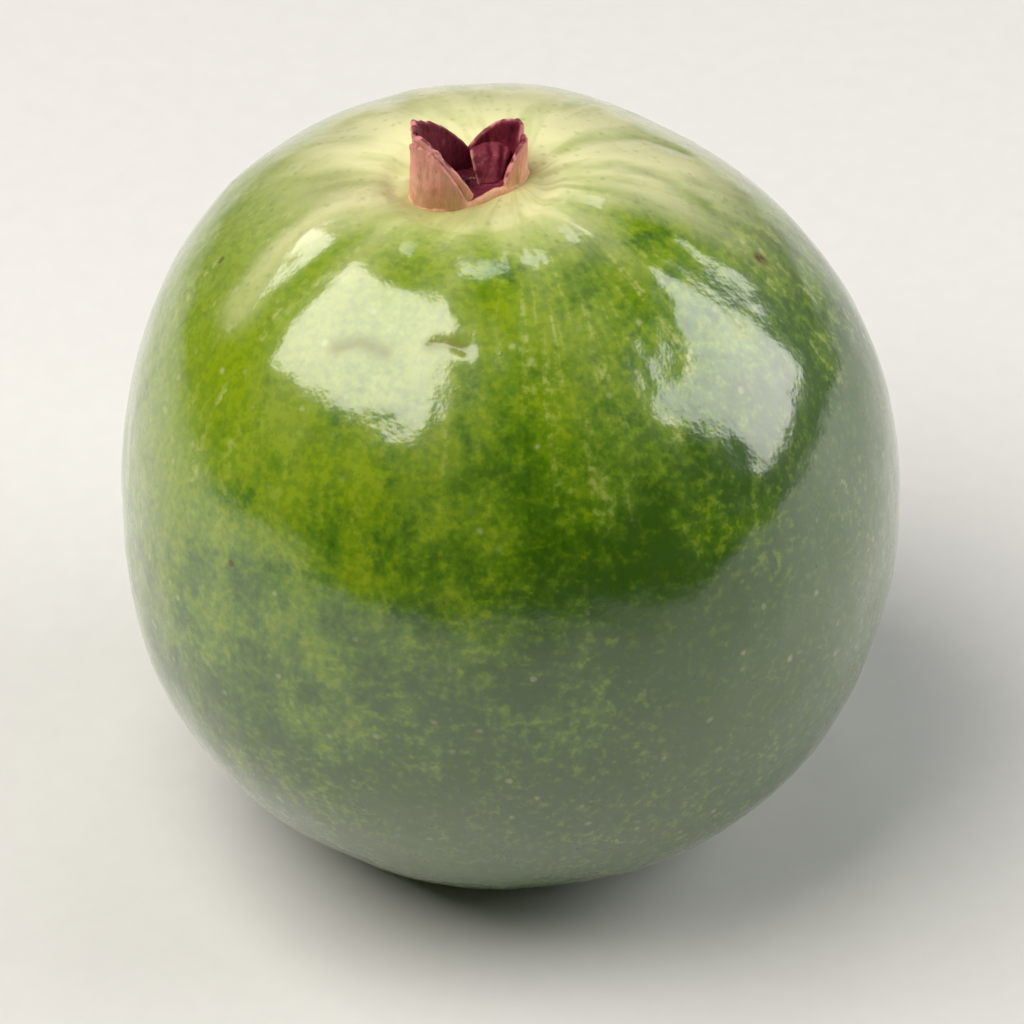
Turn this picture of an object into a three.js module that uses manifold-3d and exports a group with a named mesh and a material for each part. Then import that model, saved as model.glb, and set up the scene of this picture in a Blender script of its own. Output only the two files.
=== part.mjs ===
// A whole guava standing on its stalk end, with the dried calyx on top.
// Millimetres, +Z up. It rests on z = 0, and the middle of its box is at x = y = 0.
// An azimuth of 0 is +X, and 90 degrees is +Y.
import * as THREE from 'three';
import { mergeVertices } from 'three/addons/utils/BufferGeometryUtils.js';
import Module from 'manifold-3d';

// Fruit: the driving sizes
const FRUIT_WIDTH = 82;
const UPPER_HEIGHT = 42.2; // from the widest level to the top of the full curve, before the hollow
const LOWER_HEIGHT = 38.5; // likewise down to the stalk end
const UPPER_FULLNESS = 2.2; // exponent of the upper curve: 2 is an ellipse, more is squarer
const LOWER_FULLNESS = 2.25;
const POLE_LEAN = -4.1; // how far the calyx stands off the middle of the fruit, along X

// Hollow round the calyx
const CALYX_HOLLOW_DEPTH = 2.5;
const CALYX_HOLLOW_WIDTH = 9; // radius at which the hollow has faded to a third
const CALYX_SEAT_RADIUS = 7; // the flat floor of the hollow, under the calyx

// Hollow round the stalk, and the spot on which the fruit rests
const STALK_HOLLOW_DEPTH = 7.5;
const STALK_HOLLOW_WIDTH = 9;
const STALK_SEAT_RADIUS = 5;
const SEAT_RISE = 2.5; // width of the bend from a seat into the hollow's side
const REST_CUT = 2.6; // how much of the full curve the resting spot takes off

// Soft ribs that run out of both hollows
const CALYX_RIBS = 11;
const CALYX_RIB_HEIGHT = 0.55;
const CALYX_RIB_REACH = 17; // radius of the ring where the ribs stand highest
const STALK_RIBS = 8;
const STALK_RIB_HEIGHT = 0.6;
const STALK_RIB_REACH = 20;

// Calyx
const CALYX_HALF_LENGTH = 6.3; // the cup is an oval seen from above
const CALYX_HALF_BREADTH = 3.7;
const CALYX_TURN = THREE.MathUtils.degToRad(28);
const RIM_DENT = { azimuth: 285, width: 24, depth: 0.22 }; // where the rim is pushed in, between two sepals
const CUP_RIM = 1.1;
const CUP_FLOOR = 0.7;
const SEPAL_THICKNESS = 0.85;
const SEPAL_ROOT = 0.3; // height above the cup's underside at which the sepals start

// Each sepal stands on the rim of the cup, from azimuth from to azimuth to in the cup's own oval, in degrees.
// It is highest at tip. A high point makes its top blunt, and a low one makes it pointed.
// out is where it stands, as a share of the cup's radius. flare is how far its top opens outwards.
// A flare of less than 0 bends it in, and fold then lowers its top, so that it lies over into the cup.
const SEPALS = [
  { from: 145, to: 254, tip: 182, height: 9.1, point: 1.6, out: 1.02, flare: 0.02, fold: 0 },
  { from: 54, to: 262, tip: 174, height: 9.4, point: 1.6, out: 0.9, flare: 0.1, fold: 0 },
  { from: -24, to: 96, tip: 12, height: 5.7, point: 1.5, out: 0.95, flare: 0.08, fold: 0 },
  { from: 299, to: 356, tip: 338, height: 5.2, point: 3.5, out: 1, flare: 0.04, fold: 0 },
  { from: 48, to: 98, tip: 72, height: 6.5, point: 3.5, out: 0.88, flare: -0.78, fold: 0.84 },
];

// Stalk stub
const STUB_RADIUS = 2.2;
const STUB_LENGTH = 3.6;
const STUB_FOOT_FLARE = 0.7;
const STUB_END_FLARE = 0.35;
const STUB_CUT_DISH = 0.3; // how far the cut end is hollowed

const TOUCHING_GAP = 0.3; // between neighbouring pieces

// Fineness
const ROUND_STEPS = 72;
const RING_STEPS = 44;
const POLE_CROWDING = 0.35; // 0 spaces the rings evenly, more draws them towards both ends
const SEPAL_STEPS_ACROSS = 14;
const SEPAL_STEPS_UP = 6;
const CUP_STEPS = 40;
const STUB_SIDES = 20;
const STUB_LEVELS = 7;

const RADIUS = FRUIT_WIDTH / 2;
const REST_LEVEL = -(LOWER_HEIGHT - REST_CUT);

const { cos, sin, abs, exp, pow, PI } = Math;
const { degToRad, lerp, smoothstep } = THREE.MathUtils;

const wasm = await Module();
wasm.setup();

// Turns a closed geometry into a solid that can be joined to others.
function solidFrom(geometry) {
  const bare = geometry.clone();
  bare.deleteAttribute('normal');
  bare.deleteAttribute('uv');
  const merged = mergeVertices(bare, 1e-4);
  return new wasm.Manifold(new wasm.Mesh({
    numProp: 3,
    vertProperties: new Float32Array(merged.attributes.position.array),
    triVerts: new Uint32Array(merged.index.array),
  }));
}

function geometryFrom(solid) {
  const mesh = solid.getMesh();
  const positions = new Float32Array(mesh.numVert * 3);
  for (let i = 0; i < mesh.numVert; i++) {
    const start = i * mesh.numProp;
    positions.set(mesh.vertProperties.subarray(start, start + 3), i * 3);
  }
  const geometry = new THREE.BufferGeometry();
  geometry.setAttribute('position', new THREE.BufferAttribute(positions, 3));
  geometry.setIndex(new THREE.BufferAttribute(new Uint32Array(mesh.triVerts), 1));
  geometry.computeVertexNormals();
  return geometry;
}

// A closed skin over rings of points, from a single top point to a single bottom point.
function ringedGeometry(top, rings, bottom) {
  const count = rings[0].length;
  const points = [top, ...rings.flat(), bottom];
  const last = points.length - 1;
  const faces = [];
  const at = (ring, step) => 1 + ring * count + (step % count);
  for (let s = 0; s < count; s++) {
    faces.push(0, at(0, s), at(0, s + 1));
    for (let r = 0; r + 1 < rings.length; r++) {
      faces.push(at(r, s), at(r + 1, s), at(r + 1, s + 1));
      faces.push(at(r, s), at(r + 1, s + 1), at(r, s + 1));
    }
    faces.push(at(rings.length - 1, s), last, at(rings.length - 1, s + 1));
  }
  const geometry = new THREE.BufferGeometry();
  geometry.setFromPoints(points);
  geometry.setIndex(faces);
  geometry.computeVertexNormals();
  return geometry;
}

// Ribs of unlike width and height round an axis, from 0 in the furrows to 1 on the strongest rib.
function ribWave(azimuth, count, phase) {
  const uneven = azimuth + 0.13 * sin(2 * azimuth + 1.1 + phase) + 0.09 * sin(3 * azimuth + 0.4);
  const strength = 0.68 + 0.32 * sin(2 * azimuth + 2.2 + phase) * cos(azimuth - 0.6);
  return strength * (0.5 + 0.5 * cos(count * uneven + phase));
}

// How strongly the ribs stand out at a distance from the axis: nothing at the middle, most at reach.
function ribFade(radius, reach) {
  const share = radius / reach;
  return share * share * exp(1 - share * share);
}

// The fruit isn't quite round: a slow swell and dip round its girth.
function girth(azimuth) {
  return 1 + 0.006 * cos(2 * azimuth - 2.6) + 0.004 * cos(3 * azimuth + 0.9) + 0.003 * cos(5 * azimuth - 0.5);
}

// A point of the skin. polar runs from 0 at the calyx to PI at the stalk. Heights are from the widest level.
function skinPoint(polar, azimuth) {
  const upper = polar < PI / 2;
  const fullness = 2 / (upper ? UPPER_FULLNESS : LOWER_FULLNESS);
  const radius = RADIUS * pow(abs(sin(polar)), fullness) * lerp(1, girth(azimuth), sin(polar) ** 2);
  const curve = pow(abs(cos(polar)), fullness);
  let height;
  let lean = 0;
  if (upper) {
    height = UPPER_HEIGHT * curve;
    height -= CALYX_HOLLOW_DEPTH * exp(-((radius / CALYX_HOLLOW_WIDTH) ** 2));
    height += CALYX_RIB_HEIGHT * ribWave(azimuth, CALYX_RIBS, 0.5) * ribFade(radius, CALYX_RIB_REACH);
    const seat = UPPER_HEIGHT - CALYX_HOLLOW_DEPTH;
    height = lerp(seat, height, smoothstep(radius, CALYX_SEAT_RADIUS, CALYX_SEAT_RADIUS + SEAT_RISE));
    lean = POLE_LEAN * curve * curve;
  } else {
    height = -LOWER_HEIGHT * curve;
    height += STALK_HOLLOW_DEPTH * exp(-((radius / STALK_HOLLOW_WIDTH) ** 2));
    height -= STALK_RIB_HEIGHT * ribWave(azimuth, STALK_RIBS, 2.1) * ribFade(radius, STALK_RIB_REACH);
    height = Math.max(height, REST_LEVEL);
    const seat = -LOWER_HEIGHT + STALK_HOLLOW_DEPTH;
    height = lerp(seat, height, smoothstep(radius, STALK_SEAT_RADIUS, STALK_SEAT_RADIUS + SEAT_RISE));
  }
  return new THREE.Vector3(radius * cos(azimuth) + lean, radius * sin(azimuth), height - REST_LEVEL);
}

function makeFruit() {
  const rings = [];
  for (let r = 1; r < RING_STEPS; r++) {
    const share = r / RING_STEPS;
    const polar = PI * (share - POLE_CROWDING * sin(2 * PI * share) / (2 * PI));
    const ring = [];
    for (let s = 0; s < ROUND_STEPS; s++) {
      ring.push(skinPoint(polar, 2 * PI * s / ROUND_STEPS));
    }
    rings.push(ring);
  }
  return ringedGeometry(skinPoint(0, 0), rings, skinPoint(PI, 0));
}

// A point on the oval rim of the cup, or at a share of its radius, at a height above the cup's underside.
function rimPoint(azimuth, share, height) {
  const fromDent = THREE.MathUtils.euclideanModulo(azimuth - degToRad(RIM_DENT.azimuth) + PI, 2 * PI) - PI;
  const dent = 1 - RIM_DENT.depth * exp(-((fromDent / degToRad(RIM_DENT.width)) ** 2));
  return new THREE.Vector3(
    share * dent * CALYX_HALF_LENGTH * cos(azimuth),
    share * dent * CALYX_HALF_BREADTH * sin(azimuth),
    height,
  );
}

// A point of a sepal's outer face. across runs from 0 to 1 along the rim, and up from its root to its edge.
function sepalFace(sepal, across, up) {
  const azimuth = lerp(sepal.from, sepal.to, across);
  const reach = azimuth > sepal.tip ? sepal.to - sepal.tip : sepal.tip - sepal.from;
  const edge = sepal.height * (1 - pow(abs(azimuth - sepal.tip) / reach, sepal.point));
  const straight = lerp(SEPAL_ROOT, Math.max(edge, CUP_RIM), up);
  const rise = straight / sepal.height;
  const crumple = 0.03 * sin(azimuth / 7) * rise;
  const share = sepal.out + sepal.flare * pow(rise, 1.3) + crumple;
  return rimPoint(degToRad(azimuth), share, straight * (1 - sepal.fold * rise * rise));
}

// One sepal: a curved plate that follows the rim of the cup.
function makeSepal(sepal) {
  const step = 0.01;
  const innerFace = (across, up) => {
    const point = sepalFace(sepal, across, up);
    const along = sepalFace(sepal, across + step, up).sub(sepalFace(sepal, across - step, up));
    const upward = sepalFace(sepal, across, up + step).sub(sepalFace(sepal, across, up - step));
    return point.addScaledVector(along.cross(upward).normalize(), -SEPAL_THICKNESS);
  };
  // Each stretch across the plate is a loop: up its outer face and down its inner face.
  const loops = [];
  for (let a = 0; a <= SEPAL_STEPS_ACROSS; a++) {
    const across = lerp(0.02, 0.98, a / SEPAL_STEPS_ACROSS);
    const loop = [];
    for (let u = 0; u <= SEPAL_STEPS_UP; u++) {
      loop.push(sepalFace(sepal, across, u / SEPAL_STEPS_UP));
    }
    for (let u = SEPAL_STEPS_UP; u >= 0; u--) {
      loop.push(innerFace(across, u / SEPAL_STEPS_UP));
    }
    loops.push(loop);
  }
  const middleOf = (loop) => {
    const sum = loop.reduce((total, point) => total.add(point), new THREE.Vector3());
    return sum.divideScalar(loop.length);
  };
  return ringedGeometry(middleOf(loops[0]), loops, middleOf(loops.at(-1)));
}

// The shallow cup: its floor, up over the rim and down the outside to the underside.
function makeCup() {
  const profile = [
    [0.35, CUP_FLOOR],
    [0.68, CUP_FLOOR],
    [0.8, CUP_RIM],
    [0.98, CUP_RIM],
    [1.04, CUP_RIM * 0.6],
    [1.03, CUP_RIM * 0.2],
    [0.95, 0],
    [0.5, 0],
  ];
  const rings = profile.map(([share, height]) => {
    const ring = [];
    for (let s = 0; s < CUP_STEPS; s++) {
      ring.push(rimPoint(2 * PI * s / CUP_STEPS, share, height));
    }
    return ring;
  });
  return ringedGeometry(new THREE.Vector3(0, 0, CUP_FLOOR), rings, new THREE.Vector3(0, 0, 0));
}

function makeCalyx() {
  let body = solidFrom(makeCup());
  for (const sepal of SEPALS) {
    body = body.add(solidFrom(makeSepal(sepal)));
  }
  return geometryFrom(body);
}

// A short woody stub with a foot that widens where it leaves the fruit and a rough cut end.
function makeStub() {
  const rings = [];
  for (let l = 0; l <= STUB_LEVELS; l++) {
    const share = l / STUB_LEVELS;
    const flare = STUB_FOOT_FLARE * (1 - share) ** 3 + STUB_END_FLARE * share ** 3;
    const ring = [];
    for (let s = 0; s < STUB_SIDES; s++) {
      const azimuth = 2 * PI * s / STUB_SIDES;
      const radius = (STUB_RADIUS + flare) * (1 + 0.05 * cos(4 * azimuth + 3 * share));
      ring.push(new THREE.Vector3(radius * cos(azimuth), radius * sin(azimuth), -STUB_LENGTH * share));
    }
    rings.push(ring);
  }
  const top = new THREE.Vector3(0, 0, 0);
  const cutEnd = new THREE.Vector3(0, 0, -STUB_LENGTH + STUB_CUT_DISH);
  return ringedGeometry(top, rings, cutEnd);
}

function namedMesh(name, geometry, color, roughness) {
  const mesh = new THREE.Mesh(geometry, new THREE.MeshStandardMaterial({ color, roughness, metalness: 0 }));
  mesh.name = name;
  return mesh;
}

const fruit = namedMesh('fruit', makeFruit(), 0x6f9420, 0.35);

const calyx = namedMesh('calyx', makeCalyx(), 0x9c5a52, 0.75);
calyx.rotation.z = CALYX_TURN;
calyx.position.set(POLE_LEAN, 0, UPPER_HEIGHT - CALYX_HOLLOW_DEPTH - REST_LEVEL + TOUCHING_GAP);

const stub = namedMesh('stalk_stub', makeStub(), 0x6e4a38, 0.85);
stub.position.z = -LOWER_HEIGHT + STALK_HOLLOW_DEPTH - REST_LEVEL - TOUCHING_GAP;

const guava = new THREE.Group();
guava.add(fruit, calyx, stub);

// The whole guava moves sideways so that the middle of its box is at x = y = 0.
const box = new THREE.Box3().setFromObject(guava, true);
guava.position.set(-(box.min.x + box.max.x) / 2, -(box.min.y + box.max.y) / 2, 0);

export default guava;
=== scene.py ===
"""A whole guava with its dried calyx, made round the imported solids."""
import random
from math import cos, exp, pi, radians, sin, sqrt

import bpy
import numpy as np
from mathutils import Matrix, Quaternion, Vector, noise


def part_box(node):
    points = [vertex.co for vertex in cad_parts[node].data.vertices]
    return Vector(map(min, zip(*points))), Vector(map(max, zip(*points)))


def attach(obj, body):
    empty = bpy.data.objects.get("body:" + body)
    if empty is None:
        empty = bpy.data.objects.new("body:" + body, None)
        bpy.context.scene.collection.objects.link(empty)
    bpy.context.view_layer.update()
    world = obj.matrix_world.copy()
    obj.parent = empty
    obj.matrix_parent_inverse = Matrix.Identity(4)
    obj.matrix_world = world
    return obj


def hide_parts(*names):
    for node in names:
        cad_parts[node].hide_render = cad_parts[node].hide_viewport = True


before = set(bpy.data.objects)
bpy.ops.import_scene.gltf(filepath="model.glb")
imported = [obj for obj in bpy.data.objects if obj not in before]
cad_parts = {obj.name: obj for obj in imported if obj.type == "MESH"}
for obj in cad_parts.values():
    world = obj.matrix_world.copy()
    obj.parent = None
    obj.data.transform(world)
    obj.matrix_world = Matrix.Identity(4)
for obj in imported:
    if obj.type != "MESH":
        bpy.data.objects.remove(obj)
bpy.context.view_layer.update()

bl_info = {
    "name": "Guava",
    "version": (1, 0, 0),
    "blender": (4, 5, 0),
    "location": "3D View > Sidebar > Guava",
    "description": "Builds a guava with its calyx, its stalk stub and a studio round it",
    "category": "Object",
}

MM = 0.001
FRUIT_LOW, FRUIT_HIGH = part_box("fruit")
CALYX_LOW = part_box("calyx")[0]
STUB_LOW, STUB_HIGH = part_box("stalk_stub")

# Each sepal stands on the rim of the cup, between two azimuths in degrees, and is highest at its tip. height
# is in millimetres. A low point makes its top pointed, and a high one blunt. out is where it stands, as a
# share of the cup's radius, and flare is how far its top opens outwards.
SEPALS = (
    dict(name="sepal_front_left", start=143, end=254, tip=188, height=7.6, point=2.4, out=1.03, flare=0.02),
    dict(name="sepal_back_left", start=60, end=264, tip=172, height=8.8, point=2.1, out=0.87, flare=0.17),
    dict(name="sepal_back_right", start=-24, end=92, tip=16, height=5.5, point=2.1, out=0.95, flare=0.08),
    dict(name="sepal_front_right", start=299, end=356, tip=338, height=5, point=3.5, out=1, flare=0.04),
)

# Ridges, furrows and scars at places of their own. Each row has the half width, the rise, how far it takes
# on the pale and the brown colour, and the points that it runs through. Lengths are in millimetres. The pale
# on the first ridge is a painted reflection of the light along it. The rows with less pale take some of the
# crown's pale, itself partly a painted reflection, out of the furrows and the front of the crown.
MARKS = (
    (2.2, 0.3, 0.55, 0, ((-11, -1.8, 75.6), (-15, -3.7, 76.7), (-19.1, -5.4, 75.7), (-23.1, -7.8, 73.5),
                         (-27.6, -11.8, 69.1))),
    (1.2, -0.14, -0.5, 0, ((4.9, 5.7, 76.5), (9.1, 9.2, 75.5), (13.3, 12.1, 73.5), (17.6, 12.2, 71.6))),
    (1.1, -0.1, -0.35, 0, ((6.1, 1.9, 76.6), (10.8, 3.9, 76), (15.6, 3.8, 74.3), (19.9, 2.1, 72.1))),
    (4.2, 0, -0.5, 0, ((8.5, -2.5, 76.2), (13, -5, 75), (18, -8.5, 72.2), (21, -12, 69.5))),
    (0.8, -0.2, 0, 0.5, ((-17.6, -20.7, 71.1), (-15.2, -20.7, 71.9), (-12.5, -22.3, 71.6))),
    (0.7, -0.17, 0, 0.5, ((-8, -22.4, 72.8), (-6.5, -22.3, 73), (-4.6, -22.8, 72.7))),
    (0.65, -0.1, 0, 1.7, ((25.2, -2.4, 68.7), (25.5, -2.3, 68.5))),
    (2.6, -0.1, 0, 0.3, ((-9.5, -3.5, 76), (-14, -1.5, 76.4), (-19, 1, 74.9))),
    (0.9, -0.14, 0.2, 0.45, ((14, 27.5, 62), (17.5, 27, 59), (19, 25.5, 56.5))),
    (0.8, -0.12, 0, 0.6, ((-30, 18, 59), (-31, 19.5, 55))),
)


class GuavaSizes(bpy.types.PropertyGroup):
    """Sizes of the guava. Lengths are in metres."""

    width: bpy.props.FloatProperty(
        name="Width", description="Width of the fruit at its widest level", default=82 * MM, unit="LENGTH")
    upper_height: bpy.props.FloatProperty(
        name="Upper height", description="From the widest level to the top of the full curve",
        default=42.2 * MM, unit="LENGTH")
    lower_height: bpy.props.FloatProperty(
        name="Lower height", description="From the widest level to the bottom of the full curve",
        default=38.5 * MM, unit="LENGTH")
    upper_fullness: bpy.props.FloatProperty(
        name="Upper fullness", description="Exponent of the upper curve, 2 being an ellipse", default=2.2)
    lower_fullness: bpy.props.FloatProperty(
        name="Lower fullness", description="Exponent of the lower curve, 2 being an ellipse", default=2.25)
    pole_lean: bpy.props.FloatProperty(
        name="Lean", description="How far the calyx stands off the middle, along X",
        default=-4.1 * MM, unit="LENGTH")
    calyx_ribs: bpy.props.IntProperty(
        name="Calyx ribs", description="Soft ribs round the calyx", default=11)
    stalk_ribs: bpy.props.IntProperty(
        name="Stalk ribs", description="Soft ribs round the stalk", default=8)
    dents: bpy.props.FloatProperty(
        name="Dents", description="Depth of the slow dents of the skin", default=0.32 * MM, unit="LENGTH")
    bumps: bpy.props.FloatProperty(
        name="Bumps", description="Depth of the bumps of about 4 mm", default=0.042 * MM, unit="LENGTH")
    peel: bpy.props.FloatProperty(
        name="Peel", description="Depth of the small bumps of the skin", default=0.034 * MM, unit="LENGTH")
    streaks: bpy.props.FloatProperty(
        name="Streaks", description="Depth of the bumps drawn out from end to end", default=0.02 * MM,
        unit="LENGTH")
    calyx_length: bpy.props.FloatProperty(
        name="Calyx half length", description="Half of the long side of the cup",
        default=6.3 * MM, unit="LENGTH")
    calyx_breadth: bpy.props.FloatProperty(
        name="Calyx half breadth", description="Half of the short side of the cup",
        default=3.7 * MM, unit="LENGTH")
    calyx_turn: bpy.props.FloatProperty(
        name="Calyx turn", description="How far the cup is turned",
        default=radians(28), subtype="ANGLE")
    sepal_thickness: bpy.props.FloatProperty(
        name="Sepal thickness", description="Thickness of the sepals", default=0.85 * MM, unit="LENGTH")


class GuavaColours(bpy.types.PropertyGroup):
    """Colours of the guava."""

    skin_deep: bpy.props.FloatVectorProperty(
        name="Deep green", description="Darkest skin", default=(0.036, 0.105, 0.002), subtype="COLOR")
    skin_green: bpy.props.FloatVectorProperty(
        name="Green", description="Usual skin", default=(0.1, 0.215, 0.003), subtype="COLOR")
    skin_yellow: bpy.props.FloatVectorProperty(
        name="Yellow green", description="Ripest skin", default=(0.225, 0.34, 0.003), subtype="COLOR")
    # This pale green is also mixed in as a painted reflection round the calyx and on the ribs.
    skin_pale_and_reflection: bpy.props.FloatVectorProperty(
        name="Pale green", description="Ribs round the calyx and pale dots", default=(0.74, 0.75, 0.42),
        subtype="COLOR")
    skin_scuff: bpy.props.FloatVectorProperty(
        name="Scuff", description="Brown specks and rubbed places",
        default=(0.1, 0.075, 0.016), subtype="COLOR")
    sepal_outside: bpy.props.FloatVectorProperty(
        name="Sepal outside", description="Tan pink outer faces",
        default=(0.95, 0.54, 0.39), subtype="COLOR")
    sepal_inside: bpy.props.FloatVectorProperty(
        name="Sepal inside", description="Dark maroon inner faces",
        default=(0.17, 0.013, 0.038), subtype="COLOR")
    # The pink of the edges is partly the sepals' own colour and partly a painted highlight.
    sepal_rim_and_highlight: bpy.props.FloatVectorProperty(
        name="Sepal rim", description="Pink edges of the sepals",
        default=(0.72, 0.29, 0.29), subtype="COLOR")
    stalk_bark: bpy.props.FloatVectorProperty(
        name="Stalk bark", description="Bark of the stalk stub",
        default=(0.12, 0.062, 0.034), subtype="COLOR")
    stalk_cut: bpy.props.FloatVectorProperty(
        name="Stalk cut", description="Cut end of the stalk stub",
        default=(0.42, 0.31, 0.18), subtype="COLOR")


# Shape of the skin

CALYX_HOLLOW = dict(depth=2.5 * MM, width=9 * MM, seat=7 * MM)
STALK_HOLLOW = dict(depth=7.5 * MM, width=9 * MM, seat=2.6 * MM)
SEAT_RISE = 2.5 * MM
REST_CUT = 2.6 * MM
CALYX_RIB = dict(height=0.36 * MM, reach=17 * MM, phase=0.5)
STALK_RIB = dict(height=0.6 * MM, reach=20 * MM, phase=2.1)

# Rings from pole to pole and steps round the skin, and how much closer the rings lie near the poles.
SKIN_GRID = (240, 360)
POLE_CROWDING = 0.35

# Widths of the skin's relief. The streaks are drawn out from end to end.
SLOW_DENT = 17 * MM
SHORTER_DENT = 8.5 * MM
BUMP_WIDTH = 4.4 * MM
PEEL_WIDTH = 2.1 * MM
STREAKS_AROUND = 16
STREAK_LENGTH = 7 * MM
SKIN_INSET = 0.12 * MM
REST_EDGE = 0.02 * MM

# Creases that run out from both ends, and the puckered ring in the stalk's hollow.
CALYX_CREASE = dict(depth=0.035 * MM, reach=12 * MM)
STALK_CREASE = dict(depth=0.1 * MM, reach=11 * MM)
PUCKER = dict(depth=0.3 * MM, radius=7.5 * MM, width=3.2 * MM)

# Where the skin draws up to the calyx, as a share of the cup's radius, and to the stub.
CALYX_COLLAR = dict(share=1.12, width=1.5 * MM, rise=0.75 * MM)
STUB_COLLAR = dict(radius=3.6 * MM, width=1.3 * MM, rise=0.75 * MM)

# How far the skin's coloured places reach.
# The crown is the pale place round the calyx, partly the skin's own paler tone and partly a painted
# reflection of the light from above.
CROWN = dict(half_length=26 * MM, half_breadth=18 * MM, back=8 * MM)
HOLLOW_REACH = 19 * MM
CALYX_TAN_REACH = 2.2 * MM
STALK_END_REACH = 13 * MM


def smooth(value, low, high):
    """0 below low, 1 above high and a soft step between them."""
    share = np.clip((value - low) / (high - low), 0, 1)
    return share * share * (3 - 2 * share)


def rib_wave(azimuth, count, phase):
    """Ribs of unlike width and height, from 0 in the furrows to 1 on the strongest rib."""
    uneven = azimuth + 0.13 * np.sin(2 * azimuth + 1.1 + phase) + 0.09 * np.sin(3 * azimuth + 0.4)
    strength = 0.68 + 0.32 * np.sin(2 * azimuth + 2.2 + phase) * np.cos(azimuth - 0.6)
    return strength * (0.5 + 0.5 * np.cos(count * uneven + phase))


def rib_fade(radius, reach):
    """0 on the axis, 1 at the reach and falling away beyond it."""
    share = radius / reach
    return share * share * np.exp(1 - share * share)


def ribs(rib, count, azimuth, radius):
    """How far each point lies on one of the soft ribs round an end."""
    return rib_wave(azimuth, count, rib["phase"]) * rib_fade(radius, rib["reach"])


def girth(azimuth):
    """How far the fruit is out of round, as a factor of its radius."""
    return (1 + 0.006 * np.cos(2 * azimuth - 2.6) + 0.004 * np.cos(3 * azimuth + 0.9)
            + 0.003 * np.cos(5 * azimuth - 0.5))


def skin_points(sizes, polar, azimuth):
    """Points of the plain skin and their distance from its axis. polar is 0 on top and pi underneath."""
    upper = polar < pi / 2
    fullness = np.where(upper, 2 / sizes.upper_fullness, 2 / sizes.lower_fullness)
    sine = np.abs(np.sin(polar))
    radius = sizes.width / 2 * sine ** fullness * (1 + (girth(azimuth) - 1) * sine ** 2)
    curve = np.abs(np.cos(polar)) ** fullness

    top = sizes.upper_height * curve
    top -= CALYX_HOLLOW["depth"] * np.exp(-((radius / CALYX_HOLLOW["width"]) ** 2))
    top += CALYX_RIB["height"] * ribs(CALYX_RIB, sizes.calyx_ribs, azimuth, radius)
    seat = sizes.upper_height - CALYX_HOLLOW["depth"]
    top = seat + (top - seat) * smooth(radius, CALYX_HOLLOW["seat"], CALYX_HOLLOW["seat"] + SEAT_RISE)

    rest = -(sizes.lower_height - REST_CUT)
    bottom = -sizes.lower_height * curve
    bottom += STALK_HOLLOW["depth"] * np.exp(-((radius / STALK_HOLLOW["width"]) ** 2))
    bottom -= STALK_RIB["height"] * ribs(STALK_RIB, sizes.stalk_ribs, azimuth, radius)
    bottom = np.maximum(bottom, rest)
    seat = -sizes.lower_height + STALK_HOLLOW["depth"]
    seat_edge = STALK_HOLLOW["seat"]
    bottom = seat + (bottom - seat) * smooth(radius, seat_edge, seat_edge + SEAT_RISE)

    height = np.where(upper, top, bottom)
    lean = np.where(upper, sizes.pole_lean * curve ** 2, 0)
    points = np.stack([radius * np.cos(azimuth) + lean, radius * np.sin(azimuth), height - rest], axis=-1)
    return points, radius


def sideways_shift(sizes):
    """How far the solid's own middle is moved so that the middle of its box is where the frame has it."""
    around = np.linspace(0, 2 * pi, 720, endpoint=False)
    polar, azimuth = np.meshgrid(np.linspace(0.3, 2.8, 400), around)
    points, _ = skin_points(sizes, polar, azimuth)
    points = points.reshape(-1, 3)
    middle = (points.min(0) + points.max(0)) / 2
    cad_middle = (FRUIT_LOW + FRUIT_HIGH) / 2
    return Vector((cad_middle.x - middle[0], cad_middle.y - middle[1], 0))


def noise_at(points, size, seed):
    """Smooth noise of about -1 to 1 at each point, with features of the given size."""
    offset = Vector((seed * 7.31, seed * 3.77, seed * 5.13))
    return np.array([noise.noise(Vector(p) / size + offset) for p in points])


def new_object(name, points, faces, attributes=None):
    """A smooth mesh object, with one number for each point under each attribute's name."""
    mesh = bpy.data.meshes.new(name)
    mesh.from_pydata([tuple(p) for p in points], [], faces)
    mesh.validate()
    mesh.polygons.foreach_set("use_smooth", [True] * len(mesh.polygons))
    for key, values in (attributes or {}).items():
        layer = mesh.attributes.new(key, "FLOAT", "POINT")
        layer.data.foreach_set("value", np.asarray(values, np.float32))
    mesh.update()
    obj = bpy.data.objects.new(name, mesh)
    bpy.context.scene.collection.objects.link(obj)
    return obj


def ring_faces(ring_count, step_count):
    """Faces over rings of points, from a single first point to a single last point."""
    faces = []
    last = ring_count * step_count + 1
    for s in range(step_count):
        t = (s + 1) % step_count
        faces.append((0, 1 + s, 1 + t))
        for r in range(ring_count - 1):
            a = 1 + r * step_count
            b = a + step_count
            faces.append((a + s, b + s, b + t, a + t))
        a = 1 + (ring_count - 1) * step_count
        faces.append((a + s, last, a + t))
    return faces


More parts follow.
